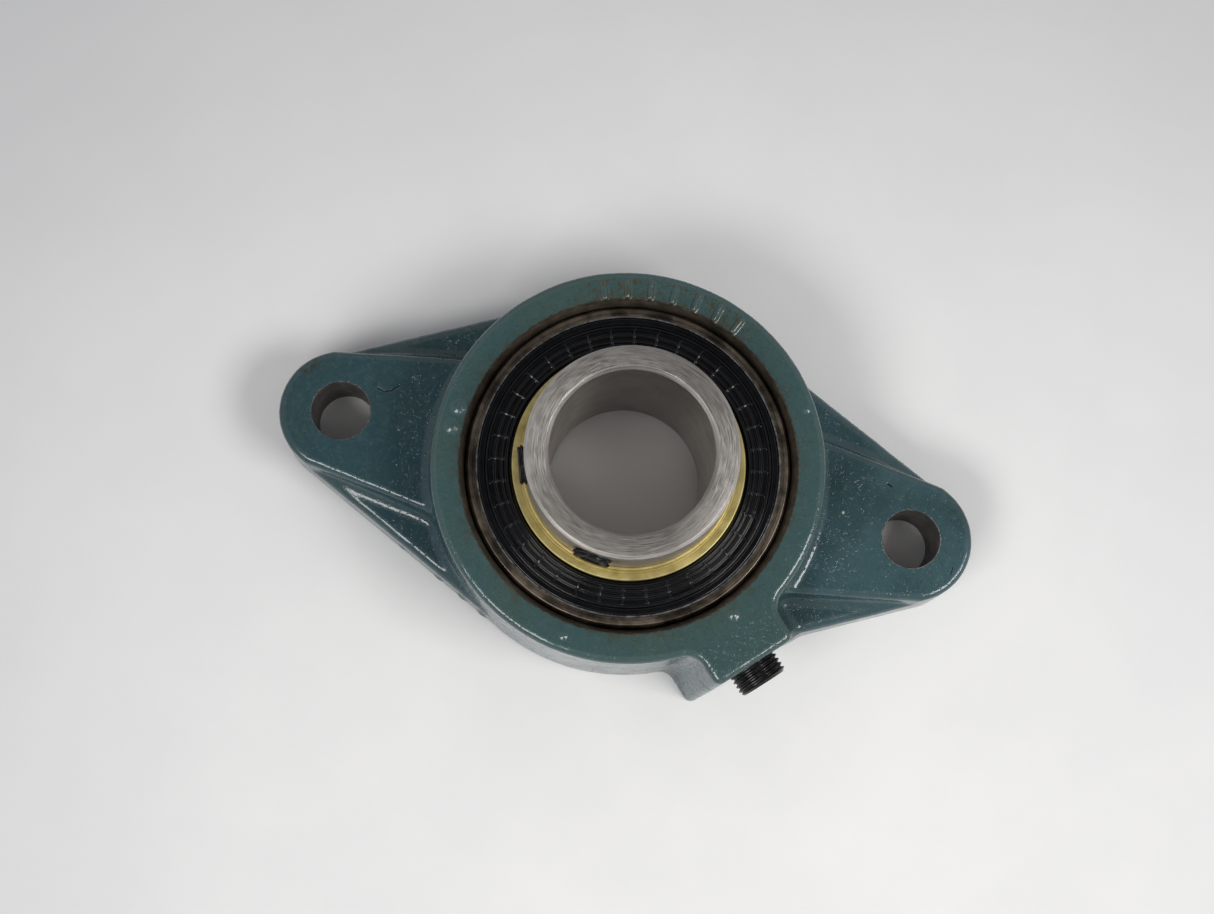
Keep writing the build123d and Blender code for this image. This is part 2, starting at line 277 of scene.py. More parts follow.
# Raised casting marks on the boss: plain bars (angle in degrees, distance from the axis, tilt, length)
MARKS = [
    (65.0, 42.7, 0, 3.4), (72.6, 42.7, 0, 3.4), (80.2, 42.7, 0, 3.4), (87.8, 42.7, 0, 3.4),
    (95.4, 42.7, 0, 3.4), (103.0, 42.7, 0, 3.4), (110.6, 42.7, 0, 3.4),
]
# Raised pips on the boss: angle in degrees, distance from the axis, radius
PIPS = [
    (174.3, 42.5, 1.7), (180.8, 42.9, 1.6), (262, 43.6, 0.5), (317, 43.3, 0.9), (30, 44.6, 0.5),
]
# Lumps left by the mould on the lower left wall: x, height, radius, how far the centre lies inside the wall
LUMPS = [
    (-33.0, 4.5, 2.4, 2.0), (-27.4, 3.5, 2.2, 1.8), (-40.0, 3.0, 2.0, 1.75), (-50.5, 4.0, 1.8, 1.6),
]


def detail_list():
    """small raised features: centre, reach, distance function, blend radius"""
    out = []
    for degrees, radius, tilt, length in MARKS:
        turn, lean = math.radians(degrees), math.radians(degrees + tilt)
        cx, cy = radius * math.cos(turn), radius * math.sin(turn)
        dx, dy = 0.5 * length * math.cos(lean), 0.5 * length * math.sin(lean)
        start, stop = (cx - dx, cy - dy, BOSS_TOP - 0.05), (cx + dx, cy + dy, BOSS_TOP - 0.05)
        out.append(((cx, cy, BOSS_TOP), 4.5,
                    lambda x, y, z, a=start, b=stop: capsule(x, y, z, a, b, 0.85), 0.35))
    for degrees, radius, size in PIPS:
        turn = math.radians(degrees)
        cx, cy, drop = radius * math.cos(turn), radius * math.sin(turn), size * 1.25
        centre = (cx, cy, BOSS_TOP - drop + 0.42 + 0.12 * size)
        out.append(((cx, cy, BOSS_TOP), 4.0,
                    lambda x, y, z, c=centre, r=drop: capsule(x, y, z, c, c, r), 0.5))
    for cx, cz, size, inside in LUMPS:
        lean = (BOSS_R - EAR_R) / EAR_X
        straight = math.sqrt(1 - lean * lean)
        cy = -(BOSS_R - cz * math.tan(DRAFT) - lean * abs(cx)) / straight
        centre = (cx + lean * inside, cy + straight * inside, cz)
        out.append((centre, 4.5, lambda x, y, z, c=centre, r=size: capsule(x, y, z, c, c, r), 0.8))
    return out


DETAILS = detail_list()


def casting(x, y, z):
    """distance to the outside of the housing, before machining and without the small raised features"""
    outline = flange_wall(x, y, z)
    ax, ay = np.abs(x), np.abs(y)
    edge = EAR_R - FLOOR_TOP * math.tan(DRAFT)
    strip = ay * math.cos(PAD_TURN) - edge - math.sin(PAD_TURN) * (EAR_X - ax) + (z - FLOOR_TOP) * 0.09
    plate = meet(outline, z - FLOOR_TOP, PLATE_ROUND)
    pad = meet(np.maximum(outline, strip), z - EAR_TOP, 1.6)
    lower = join(plate, pad, 0.05 + 2.9 * share(strip - outline, 5.0))

    boss = (np.hypot(x, y) - BOSS_R + z * math.tan(DRAFT)) * math.cos(DRAFT)
    u = x * math.cos(BLOCK_TURN) + y * math.sin(BLOCK_TURN)
    v = -x * math.sin(BLOCK_TURN) + y * math.cos(BLOCK_TURN)
    flare = (BLOCK_HALF_BASE - BLOCK_HALF_TOP) / BOSS_TOP
    side = (np.abs(v) - BLOCK_HALF_BASE + flare * z) * math.cos(math.atan(flare))
    block = meet(np.maximum(side, 20.0 - u), u - BLOCK_FACE, 2.0)
    left_blend = 2.2 + 1.2 * z / BOSS_TOP
    wall = join(boss, block, 3.4 + (left_blend - 3.4) * 0.5 * (1 - np.tanh(v / 5.0)))
    tall = meet(wall, z - BOSS_TOP, 1.6)
    body = join(lower, tall, 0.05 + 2.9 * share(boss - outline, 4.0))
    return meet(body, -z, 0.3)


def casting_at(points):
    """distance to the outside of the housing at a list of points, with the small raised features"""
    x, y, z = points.T
    body = casting(x, y, z)
    for centre, reach, shape, blend in DETAILS:
        near = np.flatnonzero((np.abs(x - centre[0]) < reach) & (np.abs(y - centre[1]) < reach)
                              & (np.abs(z - centre[2]) < reach))
        body[near] = join(body[near], shape(x[near], y[near], z[near]), blend)
    return body


def casting_mesh():
    """points and quads of the casting's skin, pulled onto the exact surface and given a sand-cast relief"""
    low = np.array([-89.0, -51.0, -1.6])
    high = np.array([89.0, 50.0, 36.0])
    counts = np.ceil((high - low) / VOXEL).astype(int) + 1
    grid = np.empty(counts, np.float32)
    gy = (low[1] + VOXEL * np.arange(counts[1]))[None, :, None]
    gz = (low[2] + VOXEL * np.arange(counts[2]))[None, None, :]
    gx = (low[0] + VOXEL * np.arange(counts[0]))[:, None, None]
    for first in range(0, counts[0], 16):
        part = slice(first, first + 16)
        grid[part] = casting(gx[part], gy, gz)
    for centre, reach, shape, blend in DETAILS:
        first = np.maximum(np.floor((np.array(centre) - reach - low) / VOXEL).astype(int), 0)
        last = np.ceil((np.array(centre) + reach - low) / VOXEL).astype(int)
        near = tuple(slice(a, b) for a, b in zip(first, last))
        grid[near] = join(grid[near], shape(gx[near[0]], gy[:, near[1]], gz[:, :, near[2]]), blend)
    volume_grid = openvdb.FloatGrid(background=3.0)
    volume_grid.copyFromArray(np.clip(grid, -3, 3), ijk=(0, 0, 0), tolerance=0)
    points, quads = volume_grid.convertToQuads(isovalue=0.0)
    points = np.asarray(points, float) * VOXEL + low
    for _ in range(2):
        points = pulled(points)
    relief = (0.045 * lattice_noise(points, 5.0, 1) + 0.03 * lattice_noise(points, 2.2, 2)
              + 0.022 * lattice_noise(points, 1.0, 3) + 0.12 * lattice_noise(points, 19.0, 4))
    relief = relief * share(points[:, 2] - 0.3, 1.5)
    points = points + slope(points)[0] * relief[:, None]
    return points, np.asarray(quads, int)


def slope(points):
    """unit gradient and value of the casting's distance at points"""
    step = 0.02
    value = casting_at(points)
    grad = np.stack([casting_at(points + offset) - value for offset in np.eye(3) * step], 1) / step
    size = np.maximum(np.linalg.norm(grad, axis=1), 0.2)
    return grad / size[:, None], value / size


def pulled(points):
    """points moved along the gradient onto the surface"""
    direction, value = slope(points)
    return points - direction * np.clip(value, -0.4, 0.4)[:, None]


# ---------------------------------------------------------------- housing

def rod(name, radius, length, place, columns=128):
    """plain cylinder used as a cutter"""
    return loft(name, revolved([(radius, 0), (radius, length)], columns), False, place)


def slab(name, low, high):
    """plain box used as a cutter"""
    x0, y0, z0 = low
    x1, y1, z1 = high
    rows = [[(x0, y0, z), (x1, y0, z), (x1, y1, z), (x0, y1, z)] for z in (z0, z1)]
    return loft(name, rows, False)


def make_housing():
    points, quads = casting_mesh()
    lowest, highest = (np.array(corner) / MM for corner in CAD_BOX)
    points = np.clip(points, lowest, highest)
    faces = quads.tolist()
    if volume(points, faces) < 0:
        faces = quads[:, ::-1].tolist()
    body = new_object("housing_casting", points, faces)

    seat = SPHERE_R + 0.05
    half = 9.0
    edge = math.sqrt(seat * seat - half * half)
    open_turn = math.asin(half / seat)
    turns = np.linspace(-open_turn, open_turn, 25)
    sphere = [(seat * math.cos(t), CENTRE_Z + seat * math.sin(t)) for t in turns]
    profile = [(41.0, -2), (41.0, 3.0 - 0.3), (40.7, 3.0)] + [(edge + 0.4, CENTRE_Z - half - 0.4)] + sphere
    profile += [(39.85, 33.0), (40.25, 33.7), (40.25, 36)]
    cutters = [loft("seat_cutter", revolved(profile, 384), False)]
    slot = slab("slot_cutter", (-11.4, -60, -3), (11.4, 60, CENTRE_Z))
    bar = rod("slot_limit", 40.6, 26, Matrix.Translation((0, 0, -4)), 256)
    change = slot.modifiers.new("meet", "BOOLEAN")
    change.operation, change.solver, change.object = "INTERSECT", "MANIFOLD", bar
    graph = bpy.context.evaluated_depsgraph_get()
    mesh = bpy.data.meshes.new_from_object(slot.evaluated_get(graph))
    slot.modifiers.clear()
    slot.data = mesh
    bpy.data.objects.remove(bar)
    cutters.append(slot)
    for end in (-1, 1):
        hole = [(BOLT_R, -3), (BOLT_R, EAR_TOP - 0.15), (BOLT_RIM_R, EAR_TOP + 0.2), (BOLT_RIM_R, 22)]
        place = Matrix.Translation((end * EAR_X, 0, 0))
        cutters.append(loft("bolt_cutter", revolved(hole, 128), False, place))
    plug_hole = [(6.2, 0), (6.2, 6.7), (6.7, 7.3), (6.7, 12)]
    cutters.append(loft("plug_cutter", revolved(plug_hole, 96), False, radial_place(-45, PLUG_Z, BLOCK_FACE - 7)))
    cutters.append(rod("grease_cutter", 1.6, 25.4, radial_place(-45, PLUG_Z, 30), 48))
    cutters.append(slab("notch_cutter", (-42.6, -2.07, 17.4), (-34.6, 2.07, 24.6)))
    cut(body, *cutters)
    smooth(body, 38)

    mesh = body.data
    count = len(mesh.polygons)
    centre = np.zeros(count * 3)
    mesh.polygons.foreach_get("center", centre)
    centre = centre.reshape(-1, 3) / MM
    x, y, z = centre.T
    reach = np.hypot(x, y)
    ball = np.sqrt(reach ** 2 + (z - CENTRE_Z) ** 2)
    # bare metal: the mouth, the seat, the chamfer at the back, the mounting face, and the holes
    bare = (reach < MOUTH_R) | ((reach < SEAT_WALL_R) & (z < 30)) | ((reach < REAR_CHAMFER_R) & (z < 3.1))
    bare |= (z < 0.02) | (np.abs(ball - seat) < 0.05)
    for end in (-1, 1):
        bare |= np.hypot(x - end * EAR_X, y) < BOLT_RIM_R
    u = x * math.cos(BLOCK_TURN) + y * math.sin(BLOCK_TURN)
    v = -x * math.sin(BLOCK_TURN) + y * math.cos(BLOCK_TURN)
    bare |= (np.hypot(v, z - PLUG_Z) < 6.5) & (u > 0) & (u < BLOCK_FACE - 0.25)
    mesh.materials.clear()
    mesh.materials.append(enamel())
    mesh.materials.append(cast_iron())
    mesh.polygons.foreach_set("material_index", bare.astype(np.int32))
    mesh.update()
    return body


# ---------------------------------------------------------------- bearing rings

def make_outer_ring():
    """outer ring: spherical outside, turned faces with a thin groove, and the ball race"""
    top = 10.5
    shoulder = math.sqrt(SPHERE_R ** 2 - top ** 2)
    turn = math.asin(top / SPHERE_R)
    race_low, race_r = 35.983, 6.2
    race_turn = math.acos((33.7 - (race_low - race_r)) / race_r)
    half = [
        (33.7, 9.4, 0.2), (36.3, 9.4, 0.1), (36.3, 11.1, 0.12), (36.75, 11.1, 0), (36.85, 10.92, 0),
        (37.05, 10.92, 0), (37.15, 11.1, 0), (shoulder - 0.55, 11.1, 0.35),
    ]
    profile = list(half) + [(shoulder + 0.02, top, 0)]
    profile += arc((0, 0), SPHERE_R, turn - 0.01, -turn + 0.01, 33)
    profile += [(shoulder + 0.02, -top, 0)] + [(r, -z, c) for r, z, c in reversed(half)]
    profile += arc((race_low - race_r, 0), race_r, -race_turn, race_turn, 21)
    ring = loft("ring_outer", revolved([(r, z + CENTRE_Z) for r, z in rounded(profile, 4)], 320), True)
    cut(ring, rod("pin_cutter", 2.025, 5, radial_place(180, CENTRE_Z, 37.66), 64))
    smooth(ring, 32)
    return ring


def make_inner_ring():
    """long inner ring with chamfered ends, the ball race and two tapped holes"""
    low, high = RING_REAR, RING_FRONT
    race_low, race_r = 24.017, 6.2
    race_turn = math.acos((race_low + race_r - 26.0) / race_r)
    front = [
        (BORE_R, low + 0.9, 0.15), (BORE_R, high - 0.9, 0.15), (BORE_R + 0.9, high, 0.12),
        (RING_END_R - 0.73, high, 0.12), (RING_END_R, high - 0.73, 0.12), (RING_END_R, CENTRE_Z + 11.8, 0.05),
        (26.0, CENTRE_Z + 11.8, 0.15),
    ]
    race = arc((race_low + race_r, CENTRE_Z), race_r, math.pi - race_turn, math.pi + race_turn, 21)
    back = [
        (26.0, CENTRE_Z - 11.8, 0.15), (RING_END_R, CENTRE_Z - 11.8, 0.05), (RING_END_R, low + 0.73, 0.12),
        (RING_END_R - 0.73, low, 0.12), (BORE_R + 0.9, low, 0.12),
    ]
    ring = loft("ring_inner", revolved(rounded(front + race + back, 3), 320), True)
    for degrees in (197.3, 261.5):
        hole = [(TAP_R, 0), (TAP_R, 6.9), (TAP_RIM_R, 7.5), (TAP_RIM_R, 10)]
        place = radial_place(degrees, SCREW_Z, RING_END_R - 7.1)
        cut(ring, loft("tap_cutter", revolved(hole, 96), False, place))
    smooth(ring, 32)
    return ring


def make_flinger(name, side):
    """thin pressed ring with a curled rim and a collar that grips the inner ring"""
    corners = [
        (24.84, 12.0, 0.1), (27.45, 12.0, 0.15), (27.45, 11.5, 0.1), (27.8, 11.5, 0.12), (27.8, 12.62, 0.3),
        (26.3, 12.58, 0.5), (25.9, 12.42, 0.4), (25.75, 12.5, 0.3), (25.5, 13.9, 0.28), (24.84, 13.9, 0.2),
    ]
    profile = [(r, CENTRE_Z + side * z) for r, z in rounded(corners, 5)]
    return loft(name, revolved(profile, 320), True, smooth_angle=40)


def make_seal(name, side):
    """rubber seal face with concentric ridges crossed by 36 radial ribs"""
    columns = 36 * 30
    turn = np.arange(columns) * 2 * math.pi / columns
    radii = np.concatenate([np.linspace(28.45, 34.4, 74), np.linspace(34.5, 35.93, 12)])
    r, t = np.meshgrid(radii, turn, indexing="ij")
    off = (np.mod(t * 36 / (2 * math.pi) + 0.5, 1) - 0.5) * 2 * math.pi / 36 * r
    height = 10.72 + 0.0 * r
    for centre, half, rise in SEAL_RIDGES:
        height = np.maximum(height, 10.72 + rise * np.exp(-((r - centre) / half) ** 4))
    rib = np.exp(-(off / 0.27) ** 4) * share(r - 28.9, 0.4) * share(33.4 - r, 0.5)
    height = np.maximum(height, 10.72 + 0.58 * rib)
    band = 10.72 + 0.42 * share(r - 34.1, 0.35) - 0.25 * share(r - 35.6, 0.35)
    height = np.maximum(height, band)
    height = height - 0.22 * share(28.75 - r, 0.35)
    wobble = np.random.default_rng(7).normal(0, 0.006, height.shape)
    height = np.minimum(height + wobble, 11.38)
    top = np.stack([r * np.cos(t), r * np.sin(t), CENTRE_Z + side * height], 2)
    under = revolved([(35.93, CENTRE_Z + side * 10.02), (29.5, CENTRE_Z + side * 10.02),
                      (29.5, CENTRE_Z + side * 9.45), (26.12, CENTRE_Z + side * 9.5),
                      (26.1, CENTRE_Z + side * 10.05), (28.42, CENTRE_Z + side * 10.3)], columns)
    return loft(name, np.concatenate([top, under]), True, smooth_angle=50)


def thread_rings(radius, depth, pitch, length, socket, socket_depth, bevel, columns, base_bevel=0.5):
    """rows of a threaded rod along Z with a bevelled end and a hexagon socket"""
    turn = np.linspace(0, 2 * math.pi, columns, endpoint=False)
    rows = []
    heights = np.arange(0, length + 1e-6, pitch / 14)
    if length - heights[-1] > 1e-3:
        heights = np.append(heights, length)
    for z in heights:
        phase = np.mod(z / pitch - turn / (2 * math.pi), 1)
        tooth = np.clip(1.25 - 2.6 * np.abs(phase - 0.5) * 1.15, 0, 1)
        r = radius - depth * (1 - tooth)
        end = radius - bevel + (length - z) * 1.0
        start = radius - base_bevel + z * 1.0
        r = np.minimum(np.minimum(r, end), start)
        rows.append(np.stack([r * np.cos(turn), r * np.sin(turn), z + 0 * turn], 1))
    sector = np.mod(turn + math.pi / 6, math.pi / 3) - math.pi / 6
    hexagon = (socket / 2) / np.cos(sector)
    floor_z = length - socket_depth
    for z, scale in ((length, 1.1), (length - 0.25, 1.0), (floor_z, 1.0), (floor_z, 0.6)):
        r = hexagon * scale
        rows.append(np.stack([r * np.cos(turn), r * np.sin(turn), z + 0 * turn], 1))
    return rows


def make_screw(name, degrees):
    rows = thread_rings(4.70, 0.5, 1.058, 6.5, 4.76, 3.4, 0.6, 128)
    return loft(name, rows, False, radial_place(degrees, SCREW_Z, 19.6), 28)


def make_plug():
    rows = thread_rings(6.2, 0.6, 1.17, 12.2, 6.35, 4.0, 0.75, 144)
    return loft("plug_threaded", rows, False, radial_place(-45, 24, BLOCK_FACE - 7), 28)


# ---------------------------------------------------------------- materials

class Paint:
    """a node material under construction; coordinates are the object's own, in millimetres"""

    def __init__(self, name):
        self.material = bpy.data.materials.new(name)
        self.material.use_nodes = True
        self.tree = self.material.node_tree
        self.shader = self.tree.nodes["Principled BSDF"]
        place = self.tree.nodes.new("ShaderNodeTexCoord")
        self.mm = self.vector("SCALE", place.outputs["Object"], scale=1000.0)
        self.normal = place.outputs["Normal"]
        split = self.make("ShaderNodeSeparateXYZ", Vector=self.mm)
        self.x, self.y, self.z = split.outputs

    def make(self, kind, **inputs):
        node = self.tree.nodes.new(kind)
        for name, value in inputs.items():
            self.feed(node.inputs[name], value)
        return node

    def feed(self, socket, value):
        if isinstance(value, bpy.types.NodeSocket):
            self.tree.links.new(value, socket)
        elif value is not None:
            socket.default_value = value

    def vector(self, operation, a, b=None, scale=None):
        node = self.tree.nodes.new("ShaderNodeVectorMath")
        node.operation = operation
        self.feed(node.inputs[0], a)
        if b is not None:
            self.feed(node.inputs[1], b)
        if scale is not None:
            self.feed(node.inputs["Scale"], scale)
        single = operation in ("LENGTH", "DISTANCE", "DOT_PRODUCT")
        return node.outputs["Value"] if single else node.outputs[0]

    def math(self, operation, *values, clamp=False):
        node = self.tree.nodes.new("ShaderNodeMath")
        node.operation = operation
        node.use_clamp = clamp
        for socket, value in zip(node.inputs, values):
            self.feed(socket, value)
        return node.outputs[0]

    def noise(self, size, detail=3.0, roughness=0.55, at=None, distortion=0.0):
        """noise with features of a size in millimetres"""
        node = self.make("ShaderNodeTexNoise", Vector=at or self.mm, Scale=1.0 / size, Detail=detail,
                         Roughness=roughness, Distortion=distortion)
        return node.outputs["Fac"]

    def stretch(self, scale, at=None, turn=0.0):
        """coordinates turned about Z and scaled per axis"""
        node = self.tree.nodes.new("ShaderNodeMapping")
        self.feed(node.inputs["Vector"], at or self.mm)
        node.inputs["Rotation"].default_value = (0, 0, turn)
        node.inputs["Scale"].default_value = scale
        return node.outputs[0]

    def ramp(self, value, low, high, first=0.0, last=1.0):
        """value mapped smoothly from a range onto another"""
        node = self.tree.nodes.new("ShaderNodeMapRange")
        node.interpolation_type = "SMOOTHSTEP"
        names = ("Value", "From Min", "From Max", "To Min", "To Max")
        for name, number in zip(names, (value, low, high, first, last)):
            self.feed(node.inputs[name], number)
        return node.outputs["Result"]

    def mix(self, share, a, b):
        """colour mix"""
        node = self.tree.nodes.new("ShaderNodeMix")
        node.data_type = "RGBA"
        self.feed(node.inputs["Factor"], share)
        for socket, value in ((node.inputs[6], a), (node.inputs[7], b)):
            if isinstance(value, tuple):
                value = tuple(value) + (1.0,)
            self.feed(socket, value)
        return node.outputs[2]

    def polar(self):
        """distance from the shaft axis in millimetres, and the angle round it in degrees"""
        flat = self.vector("MULTIPLY", self.mm, (1, 1, 0))
        reach = self.vector("LENGTH", flat)
        angle = self.math("MULTIPLY", self.math("ARCTAN2", self.y, self.x), 180 / math.pi)
        return reach, angle

    def turned(self, reach, angle, fine, spread):
        """coordinates that draw noise out into turning lines"""
        place = self.make("ShaderNodeCombineXYZ", X=self.math("MULTIPLY", reach, fine),
                          Y=self.math("MULTIPLY", self.z, fine), Z=self.math("MULTIPLY", angle, spread))
        return place.outputs[0]

    def bump(self, height, strength, distance, after=None):
        node = self.make("ShaderNodeBump", Height=height, Strength=strength, Distance=distance * MM)
        if after is not None:
            self.feed(node.inputs["Normal"], after)
        return node.outputs["Normal"]

    def spot(self, x, y, radius, soft):
        """1 inside a round spot seen along Z, 0 outside"""
        flat = self.vector("MULTIPLY", self.vector("SUBTRACT", self.mm, (x, y, 0)), (1, 1, 0))
        away = self.vector("LENGTH", flat)
        return self.ramp(away, radius - soft, radius + soft, 1.0, 0.0)

    def stroke(self, points, half_width):
        """1 along a thin scratch seen along Z, 0 elsewhere"""
        flat = self.vector("MULTIPLY", self.mm, (1, 1, 0))
        out = 0.0
        for (ax, ay), (bx, by) in zip(points, points[1:]):
            along = (bx - ax, by - ay, 0.0)
            size = along[0] ** 2 + along[1] ** 2
            away = self.vector("SUBTRACT", flat, (ax, ay, 0.0))
            t = self.math("DIVIDE", self.vector("DOT_PRODUCT", away, along), size, clamp=True)
            rest = self.vector("LENGTH", self.vector("SUBTRACT", away, self.vector("SCALE", along, scale=t)))
            out = self.math("MAXIMUM", out, self.ramp(rest, half_width * 0.6, half_width * 1.4, 1.0, 0.0))
        return out

    def finish(self, color=None, metallic=0.0, roughness=0.5, normal=None, **fixed):
        if isinstance(color, tuple):
            color = tuple(color) + (1.0,)
        self.feed(self.shader.inputs["Base Color"], color)
        self.feed(self.shader.inputs["Metallic"], metallic)
        self.feed(self.shader.inputs["Roughness"], roughness)
        if normal is not None:
            self.feed(self.shader.inputs["Normal"], normal)
        for name, value in fixed.items():
            self.feed(self.shader.inputs[name.replace("_", " ")], value)
        return self.material


def enamel():
    """glossy blue-green enamel over sand-cast iron, with oil stains and chips near the machined mouth"""
    p = Paint("enamel")
    reach, angle = p.polar()
    high = p.ramp(p.z, 24.0, 33.0)
    cloud = p.noise(16.0, 4.0)
    fine = p.noise(2.2, 5.0, 0.65)
    # painted light: the enamel is graded from a darker left side to a lighter right side, standing in for the
    # brighter light on the right
    left, right = (0.024, 0.057, 0.068), (0.040, 0.083, 0.094)
    color = p.mix(p.ramp(p.x, -60.0, 60.0), left, right)
    color = p.mix(high, color, (0.040, 0.080, 0.082))
    color = p.mix(p.ramp(cloud, 0.35, 0.7), color, p.mix(high, (0.026, 0.055, 0.060), (0.045, 0.078, 0.070)))
    color = p.mix(p.ramp(fine, 0.45, 0.75, 0.0, 0.5), color, (0.050, 0.092, 0.094))
    mottle = p.noise(0.8, 5.0, 0.75)
    color = p.mix(p.ramp(mottle, 0.50, 0.72, 0.0, 0.45), color, (0.012, 0.030, 0.034))
    # oil and rust near the mouth
    near = p.ramp(reach, 40.2, 44.0, 1.0, 0.0)
    stain = p.math("MULTIPLY", p.math("MULTIPLY", near, high), p.ramp(p.noise(3.0, 4.0, 0.7), 0.42, 0.68))
    color = p.mix(p.math("MULTIPLY", stain, 0.75), color, (0.036, 0.040, 0.026))
    # brown oil held round the raised bars
    beside = p.math("ABSOLUTE", p.math("SUBTRACT", angle, 88.0))
    marked = p.math("MULTIPLY", p.ramp(beside, 26.0, 32.0, 1.0, 0.0), high)
    marked = p.math("MULTIPLY", marked, p.ramp(reach, 45.0, 46.2, 1.0, 0.0))
    marked = p.math("MULTIPLY", marked, p.ramp(p.noise(1.3, 4.0, 0.7), 0.50, 0.62))
    color = p.mix(p.math("MULTIPLY", marked, 0.8), color, (0.060, 0.043, 0.012))
    ragged = p.math("ADD", reach, p.math("MULTIPLY", p.noise(1.4, 4.0, 0.7), -1.4))
    chipped = p.math("MULTIPLY", p.ramp(ragged, 39.72, 39.86, 1.0, 0.0), high)
    color = p.mix(chipped, color, (0.022, 0.018, 0.013))
    # a worn patch on the tip of one ear, and dark scratches
    worn = p.math("MULTIPLY", p.spot(-82.6, 9.6, 2.6, 1.0), p.ramp(p.noise(1.6, 3.0), 0.42, 0.52))
    color = p.mix(p.math("MULTIPLY", worn, 0.85), color, (0.034, 0.036, 0.026))
    nick = p.stroke([(-64.3, 7.6), (-62.6, 7.0), (-61.0, 7.6), (-59.4, 9.3)], 0.22)
    nick = p.math("MAXIMUM", nick, p.stroke([(63.6, 12.2), (64.6, 11.8)], 0.3))
    nick = p.math("MAXIMUM", nick, p.stroke([(83.2, -4.6), (83.0, -6.4)], 0.14))
    color = p.mix(p.math("MULTIPLY", nick, 0.9), color, (0.004, 0.010, 0.013))
    pale = p.math("MAXIMUM", p.spot(54.2, 2.7, 0.32, 0.12), p.spot(-57.0, -1.5, 0.14, 0.1))
    color = p.mix(pale, color, (0.45, 0.45, 0.42))
    # dark specks and pale dust
    dirt = p.ramp(p.noise(0.55, 4.0, 0.7), 0.60, 0.74)
    color = p.mix(p.math("MULTIPLY", dirt, 0.5), color, (0.012, 0.022, 0.022))
    dusty = p.math("MULTIPLY", p.ramp(p.noise(9.0, 3.0), 0.45, 0.7), p.ramp(p.noise(0.34, 2.0, 0.5), 0.64, 0.72))
    color = p.mix(p.math("MULTIPLY", dusty, 0.8), color, (0.16, 0.155, 0.09))
    rough = p.ramp(p.noise(5.0, 4.0), 0.3, 0.7, 0.11, 0.20)
    rough = p.math("ADD", rough, p.math("MULTIPLY", stain, 0.15))
    rough = p.math("ADD", rough, p.math("MULTIPLY", chipped, 0.2))
    near_boss = p.math("MULTIPLY", p.ramp(reach, 46.0, 49.0), p.ramp(reach, 50.0, 62.0, 1.0, 0.0))
    grain = p.math("ADD", 0.25, p.math("MULTIPLY", near_boss, 0.75))
    normal = p.bump(p.noise(2.4, 3.0), 0.6, 0.10)
    pimples = p.ramp(p.noise(0.75, 2.0, 0.5), 0.58, 0.80)
    normal = p.bump(pimples, grain, 0.22, normal)
    normal = p.bump(nick, 0.8, -0.1, normal)
    return p.finish(color, 0.0, rough, normal, Specular_IOR_Level=0.55)


def cast_iron():
    """bare machined cast iron with turning lines and brown oil"""
    p = Paint("machined_iron")
    reach, angle = p.polar()
    lines = p.noise(1.0, 2.0, 0.5, p.turned(reach, angle, 9.0, 0.02))
    blotch = p.noise(4.0, 5.0, 0.65)
    rim = p.math("MULTIPLY", p.ramp(p.z, 32.7, 33.5), p.ramp(reach, 39.0, 39.8))
    color = p.mix(p.ramp(blotch, 0.35, 0.7), (0.125, 0.105, 0.082), (0.21, 0.172, 0.130))
    color = p.mix(p.math("MULTIPLY", rim, p.ramp(p.noise(1.6, 3.0), 0.35, 0.6)), color, (0.10, 0.080, 0.056))
    hole = p.ramp(reach, 55.0, 60.0)
    color = p.mix(hole, color, p.mix(p.ramp(blotch, 0.35, 0.7), (0.13, 0.125, 0.12), (0.21, 0.20, 0.19)))
    color = p.mix(p.math("MULTIPLY", p.ramp(lines, 0.4, 0.6), 0.35), color, (0.05, 0.045, 0.04))
    rough = p.ramp(blotch, 0.3, 0.7, 0.38, 0.55)
    normal = p.bump(lines, 0.5, 0.05)
    normal = p.bump(p.noise(0.5, 3.0), 0.3, 0.04, normal)
    return p.finish(color, 0.75, rough, normal)


